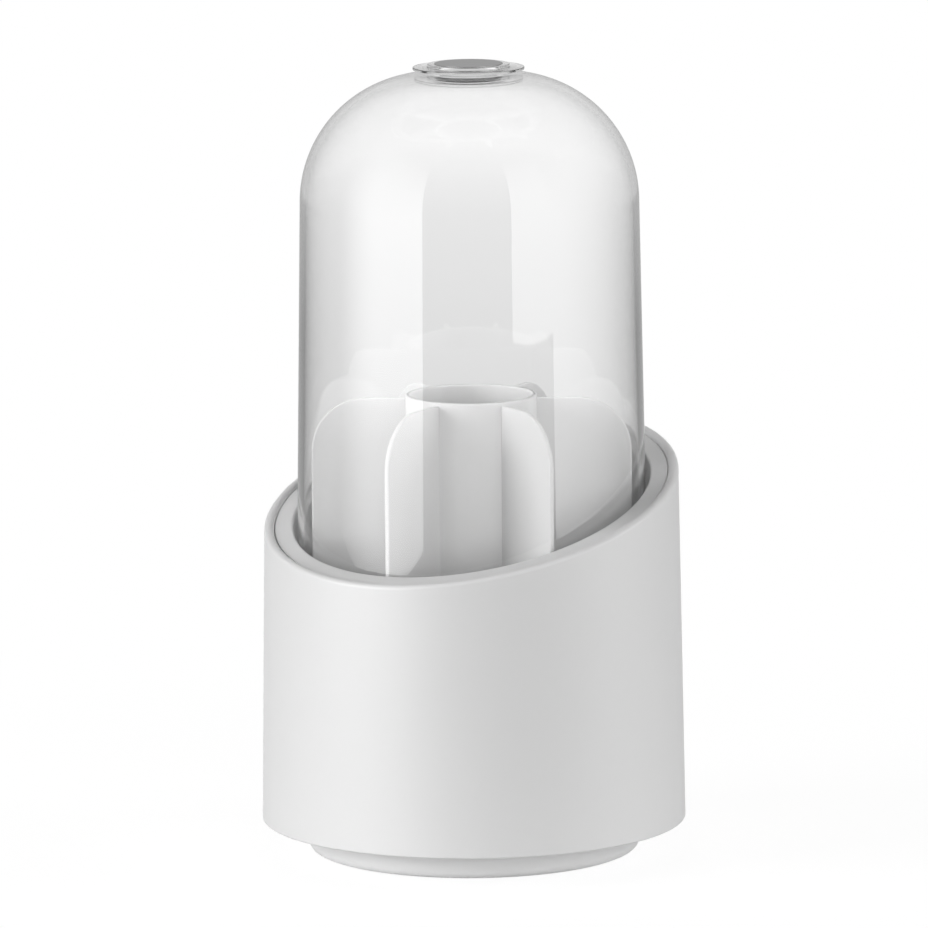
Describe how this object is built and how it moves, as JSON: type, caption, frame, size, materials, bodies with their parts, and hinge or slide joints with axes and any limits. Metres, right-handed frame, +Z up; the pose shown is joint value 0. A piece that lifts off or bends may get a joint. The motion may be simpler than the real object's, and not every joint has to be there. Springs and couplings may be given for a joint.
{
  "type": "rotating makeup brush holder",
  "caption": "Round pot with a slanted rim on a turntable foot, with a clear domed lift-off cover and a finned divider inside that keeps makeup brushes upright and free of dust.",
  "frame": {"origin": "on the resting surface under the centre of the foot", "axes": "+Z up along the turning axis, -Y towards the low side of the slanted rim, +X to the right of that"},
  "size_m": [0.125, 0.125, 0.2332],
  "materials": {
    "shell_white": "satin moulded white ABS",
    "liner_white": "satin moulded white ABS",
    "foot_white": "satin moulded white ABS",
    "divider_white": "semi-gloss moulded white polystyrene",
    "cover_clear": "clear polished polystyrene",
    "knob_clear": "clear polished polystyrene",
    "badge_grey": "satin grey foil-faced disc",
    "pad_rubber": "pale grey soft rubber",
    "race_steel": "pressed plated steel",
    "ball_steel": "polished bearing steel",
    "cage_nylon": "natural nylon",
    "bush_acetal": "natural acetal",
    "screw_zinc": "zinc-plated steel"
  },
  "bodies": {
    "foot": {"foot_dish": "foot_white", "grip_pads": "pad_rubber", "lower_race": "race_steel", "pivot_bush": "bush_acetal"},
    "cage": {"ball_cage": "cage_nylon", "bearing_balls": "ball_steel"},
    "pot": {"outer_shell": "shell_white", "inner_liner": "liner_white", "liner_screws": "screw_zinc", "upper_race": "race_steel", "pivot_screw": "screw_zinc", "pivot_washer": "screw_zinc"},
    "insert": {"divider": "divider_white"},
    "cover": {"dome_cover": "cover_clear", "knob": "knob_clear", "knob_badge": "badge_grey"}
  },
  "joints": [
    {"name": "turntable_spin", "type": "hinge", "parent": "foot", "child": "pot", "pos_m": [0, 0, 0.0094], "axis": [0, 0, 1], "continuous": true},
    {"name": "cage_spin", "type": "hinge", "parent": "foot", "child": "cage", "pos_m": [0, 0, 0.0061], "axis": [0, 0, 1], "continuous": true},
    {"name": "cover_lift", "type": "slide", "parent": "pot", "child": "cover", "axis": [0, 0, 1], "range_m": [0, 0.1]},
    {"name": "divider_lift", "type": "slide", "parent": "pot", "child": "insert", "axis": [0, 0, 1], "range_m": [0, 0.06]}
  ],
  "couplings": [
    {"joint": "cage_spin", "follows": "turntable_spin", "ratio": 0.5}
  ]
}
